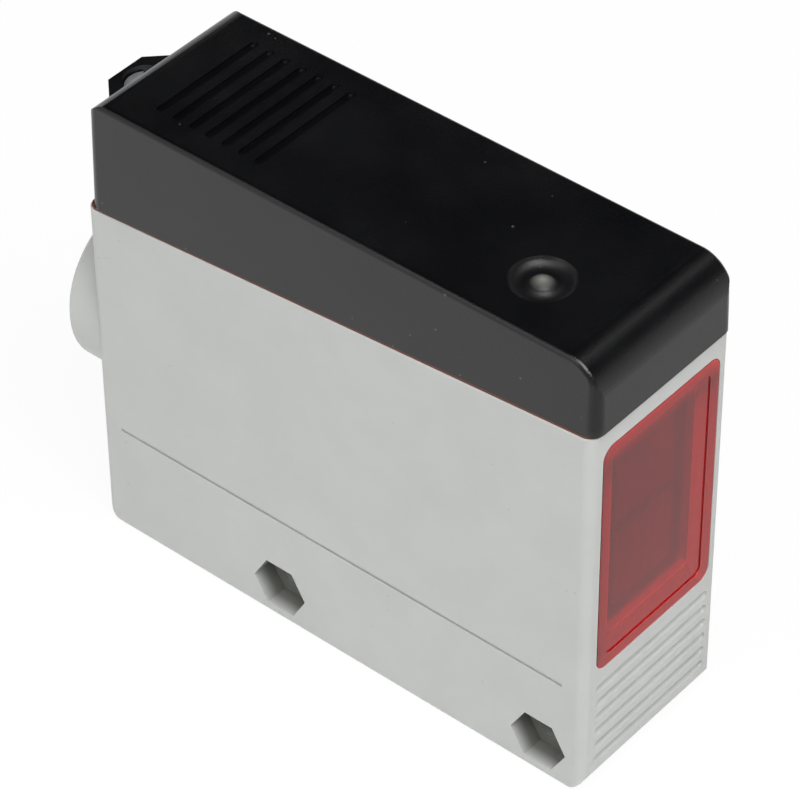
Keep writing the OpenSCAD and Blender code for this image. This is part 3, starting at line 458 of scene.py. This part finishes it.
MATERIALS = {
    "housing": moulded_plastic(
        "housing_grey_plastic", (0.49, 0.5, 0.485), (0.515, 0.525, 0.51), (0.36, 0.46),
        0.14 * MM, 0.006 * MM, speck_tone=(0.4, 0.4, 0.38), speck_share=0.03, places=housing_places),
    "cover": moulded_plastic(
        "cover_black_plastic", (0.0009, 0.001, 0.0016), (0.0014, 0.0015, 0.0022), (0.28, 0.36),
        0.17 * MM, 0.022 * MM, speck_tone=(0.05, 0.05, 0.05), speck_share=0.06, places=cover_places),
    "gasket": moulded_plastic(
        "gasket_rubber", (0.12, 0.03, 0.018), (0.15, 0.038, 0.022), (0.55, 0.7), 0.3 * MM, 0.02 * MM),
    "zinc": turned_metal(
        "zinc_plated_steel", (0.8, 0.82, 0.85), SCREW_AXIS, roughness=(0.55, 0.7), pitch=0.12 * MM),
    "window": clear_plastic(
        "clear_red_plastic", WINDOW_TONE, 0.012, 1.5, dust=0.02, rear=(WINDOW_REAR, 0.22),
        step=(WINDOW_FRONT - (1 - STEP_MARGIN) * WINDOW_STEP_SHOWN,
              WINDOW_FRONT - STEP_MARGIN * WINDOW_STEP_SHOWN),
        # painted glow below the window's top edge
        edge=(WINDOW_TOP, (0.15, 0.002, 0.002))),
    "black": moulded_plastic(
        "black_optics_plastic", (0.01, 0.01, 0.011), (0.016, 0.016, 0.017), (0.45, 0.6),
        0.2 * MM, 0.02 * MM),
    "lens": clear_plastic("clear_lens_plastic", (0.93, 0.94, 0.95), 0.01, 1.49),
    "film": moulded_plastic(
        "polarising_film", (0.035, 0.033, 0.036), (0.045, 0.042, 0.046), (0.06, 0.12),
        0.6 * MM, 0.001 * MM),
    "led_red": clear_plastic("red_resin", (0.9, 0.12, 0.1), 0.05, 1.54),
    "led_amber": clear_plastic("amber_resin", (0.95, 0.6, 0.1), 0.05, 1.54),
    "board": solder_board("green_board"),
    "relay": moulded_plastic(
        "relay_case_plastic", (0.6, 0.6, 0.55), (0.66, 0.66, 0.6), (0.35, 0.5), 0.2 * MM, 0.01 * MM),
    "sleeve": moulded_plastic(
        "capacitor_sleeve_plastic", (0.012, 0.018, 0.08), (0.018, 0.026, 0.1), (0.2, 0.3),
        0.4 * MM, 0.004 * MM),
    "yellow": moulded_plastic(
        "capacitor_box_resin", (0.5, 0.33, 0.03), (0.56, 0.37, 0.04), (0.25, 0.4),
        0.3 * MM, 0.01 * MM),
    "ferrite": moulded_plastic(
        "ferrite", (0.02, 0.02, 0.021), (0.035, 0.035, 0.036), (0.5, 0.7), 0.1 * MM, 0.02 * MM),
    "winding": wound_wire("winding"),
    "terminal": moulded_plastic(
        "terminal_green_plastic", (0.02, 0.15, 0.05), (0.03, 0.19, 0.07), (0.4, 0.5),
        0.2 * MM, 0.01 * MM),
    "brass": turned_metal("plain_brass", (0.72, 0.5, 0.2)),
    "steel": turned_metal("plain_steel", (0.6, 0.61, 0.62)),
}

# Finish of each CAD node
FINISHES = {
    "housing": "housing", "cover": "cover", "cover_gasket": "gasket", "cover_screw": "zinc",
    "front_window": "window", "optics_block": "black", "emitter_lens": "lens",
    "receiver_lens": "lens", "emitter_polariser": "film", "receiver_polariser": "film",
    "emitter_led": "led_red", "receiver_diode": "black", "optics_board": "board",
    "indicator_board": "board", "status_led": "led_amber", "light_guide": "lens",
    "main_board": "board", "relay": "relay", "reservoir_capacitor": "sleeve",
    "film_capacitor": "yellow", "transformer_core": "ferrite", "transformer_coil": "winding",
    "controller_chip": "black", "signal_chip": "black", "shield_can": "steel",
    "terminal_block": "terminal", "terminal_clamps": "brass", "terminal_screws": "steel",
    "link_header": "black", "link_pins": "brass", "board_screws": "steel",
}


def give_material(mesh, key):
    mesh.materials.clear()
    mesh.materials.append(MATERIALS[key])


# Pieces

def in_scene(name, data):
    """A new object, in the scene's collection."""
    made = bpy.data.objects.new(name, data)
    bpy.context.scene.collection.objects.link(made)
    return made


def mesh_of(bm, name):
    mesh = bpy.data.meshes.new(name)
    bm.to_mesh(mesh)
    bm.free()
    return mesh


def place_piece(bm, name, material, replaced=()):
    """A smooth piece that rides on the only body, with its edges kept sharp."""
    mesh = mesh_of(bm, name)
    mesh.polygons.foreach_set("use_smooth", [True] * len(mesh.polygons))
    mesh.set_sharp_from_angle(angle=SMOOTH_ANGLE)
    piece = in_scene(name, mesh)
    give_material(mesh, material)
    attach(piece, "root")
    if replaced:
        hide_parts(*replaced)
    return piece


def softened(node, name, material, width, reshape=None):
    """A copy of a moulded node with its sharp edges rounded to a small radius."""
    bm = bmesh.new()
    bm.from_mesh(nodes[node].data)
    bmesh.ops.remove_doubles(bm, verts=bm.verts, dist=MERGE_DISTANCE)
    if reshape:
        reshape(bm)
    bmesh.ops.dissolve_limit(bm, angle_limit=FLAT_ANGLE, verts=bm.verts, edges=bm.edges)
    sharp = [e for e in bm.edges if len(e.link_faces) == 2 and e.calc_face_angle() > SHARP_ANGLE]
    bmesh.ops.bevel(bm, geom=sharp, offset=width, offset_type="OFFSET", segments=BEVEL_SEGMENTS,
                    profile=0.5, affect="EDGES", clamp_overlap=True, material=-1)
    piece = place_piece(bm, name, material, [node])
    piece.modifiers.new("even_shading", "WEIGHTED_NORMAL").keep_sharp = True


def entry_radius(vert):
    """How far a point lies from the cable entry's axis."""
    return math.hypot(vert.co.y, vert.co.z - ENTRY_HEIGHT)


def set_entry_radius(vert, radius):
    share = radius / entry_radius(vert)
    vert.co.y *= share
    vert.co.z = ENTRY_HEIGHT + (vert.co.z - ENTRY_HEIGHT) * share


def open_bore(bm):
    """Widens the plain bore of the cable entry to the root of its thread."""
    end = ENTRY_MOUTH + ENTRY_LENGTH + BORE_END_SLACK
    for vert in bm.verts:
        if vert.co.x < end and abs(entry_radius(vert) - ENTRY_CORE_R) < BORE_R_SLACK:
            set_entry_radius(vert, ENTRY_ROOT_R)


def shallow_field(bm):
    """Lifts the window's field a little, so that the step round it shows as a fine line."""
    for vert in bm.verts:
        if abs(vert.co.x - (WINDOW_FRONT - WINDOW_STEP)) < STEP_SLACK:
            vert.co.x = WINDOW_FRONT - WINDOW_STEP_SHOWN


def thread_ridge():
    """The ridge of the entry's thread, run out to nothing at both ends."""
    bm = bmesh.new()
    first, last = ENTRY_MOUTH + THREAD_MARGIN, ENTRY_MOUTH + ENTRY_LENGTH - THREAD_MARGIN
    root = ENTRY_ROOT_R + RIDGE_SINK
    section = [bm.verts.new((first + RIDGE_FOOT + x, 0, ENTRY_HEIGHT + r)) for x, r in (
        (-RIDGE_FOOT, root), (-RIDGE_CREST, ENTRY_CORE_R),
        (RIDGE_CREST, ENTRY_CORE_R), (RIDGE_FOOT, root))]
    loop = [bm.edges.new((section[i - 1], section[i])) for i in range(4)]
    turns = (last - first - 2 * RIDGE_FOOT) / THREAD_PITCH
    steps = round(turns * THREAD_STEPS)
    bmesh.ops.spin(bm, geom=section + loop, cent=(0, 0, ENTRY_HEIGHT), axis=(1, 0, 0),
                   dvec=(turns * THREAD_PITCH / steps, 0, 0), angle=2 * math.pi * turns, steps=steps,
                   use_duplicate=False)
    bmesh.ops.holes_fill(bm, edges=[e for e in bm.edges if e.is_boundary], sides=4)
    for vert in bm.verts:
        rise = min((vert.co.x - first) / THREAD_PITCH, (last - vert.co.x) / THREAD_PITCH, 1.0)
        set_entry_radius(vert, root - (root - entry_radius(vert)) * max(rise, 0.0))
    bmesh.ops.recalc_face_normals(bm, faces=bm.faces)
    place_piece(bm, "entry_thread", "housing")


# Stage, camera and lights

def make_floor():
    """A round floor whose edge sweeps up into a low backdrop."""
    bm = bmesh.new()
    bmesh.ops.create_circle(bm, cap_ends=True, segments=FLOOR_SIDES, radius=FLOOR_R)
    for out, rise in SWEEP_STEPS:
        made = bmesh.ops.extrude_edge_only(bm, edges=[e for e in bm.edges if e.is_boundary])["geom"]
        rim = [g for g in made if isinstance(g, bmesh.types.BMVert)]
        share = 1 + out / FLOOR_R
        bmesh.ops.scale(bm, verts=rim, vec=(share, share, 1))
        bmesh.ops.translate(bm, verts=rim, vec=(0, 0, rise))
    bmesh.ops.recalc_face_normals(bm, faces=bm.faces)
    floor = in_scene("floor", mesh_of(bm, "floor"))
    floor.data.materials.append(white_floor())


def white_floor():
    """White to the camera. What gloss and glass show of it grows darker up the sweep, and beyond
    the window's end."""
    made, tree, shader = start_material("white_floor", Base_Color=colour(0.9, 0.9, 0.9), Roughness=0.9)
    path = add(tree, "ShaderNodeLightPath")
    camera = path.outputs["Is Camera Ray"]
    x, _, height = coordinates(tree, object_vector(tree))
    uneven = math_node(tree, "MULTIPLY", spread(tree, height, SWEEP_WHITE, SWEEP_RISE, 1.0, SWEEP_DARK),
                       spread(tree, x, 0.0, FRONT_REACH, 1.0, FRONT_GLOW))
    share = math_node(tree, "MULTIPLY", FLOOR_GLOW,
                      math_node(tree, "MAXIMUM", camera, in_gloss_or_glass(tree, path)))
    glow = add(tree, "ShaderNodeEmission", None, {
        "Color": WHITE, "Strength": math_node(tree, "MAXIMUM", camera, uneven)})
    blend_shaders(tree, share, shader, glow)
    return made


def make_world():
    """White to the camera, a dark ceiling to gloss and glass, and a soft fill to everything else."""
    world = bpy.data.worlds.new("studio")
    bpy.context.scene.world = world
    world.use_nodes = True
    tree = world.node_tree
    path = add(tree, "ShaderNodeLightPath")
    strength = spread(tree, in_gloss_or_glass(tree, path), 0.0, 1.0, WORLD_FILL, WORLD_SHOWN)
    fill = tree.nodes["Background"]
    fill.inputs["Color"].default_value = WHITE
    tree.links.new(strength, fill.inputs["Strength"])
    white = add(tree, "ShaderNodeBackground", None, {"Color": WHITE, "Strength": 1.0})
    blend_shaders(tree, path.outputs["Is Camera Ray"], fill, white, "World Output")


def direction(azimuth, elevation):
    """The way from the object to a place, with azimuths counted from -Y towards +X, in degrees."""
    a, e = math.radians(azimuth), math.radians(elevation)
    return Vector((math.sin(a) * math.cos(e), -math.cos(a) * math.cos(e), math.sin(e)))


def soft_box(name, azimuth, elevation, distance, size, power):
    """A square area lamp."""
    lamp = in_scene(name, bpy.data.lights.new(name, "AREA"))
    lamp.data.size = size
    lamp.data.energy = power
    away = direction(azimuth, elevation)
    lamp.location = LAMP_AIM + away * distance
    lamp.rotation_euler = away.to_track_quat("Z", "Y").to_euler()


def make_camera():
    camera = in_scene("camera", bpy.data.cameras.new("camera"))
    camera.data.lens = CAMERA_LENS
    camera.data.sensor_width = CAMERA_SENSOR
    camera.data.clip_start = CAMERA_NEAR
    back = direction(CAMERA_AZIMUTH, CAMERA_ELEVATION).to_track_quat("Z", "Y").to_matrix().to_4x4()
    roll = Matrix.Rotation(math.radians(CAMERA_ROLL), 4, "Z")
    camera.matrix_world = Matrix.Translation(CAMERA_PLACE) @ back @ roll
    bpy.context.scene.camera = camera


for node, key in FINISHES.items():
    give_material(nodes[node].data, key)
softened("housing", "housing_shell", "housing", HOUSING_EDGE, open_bore)
thread_ridge()
softened("cover", "cover_shell", "cover", COVER_EDGE)
softened("front_window", "window_plate", "window", WINDOW_EDGE, shallow_field)
make_camera()
make_floor()
make_world()
for lamp_name, values in LAMPS.items():
    soft_box(lamp_name, *values)
bpy.context.scene.view_settings.view_transform = "Standard"
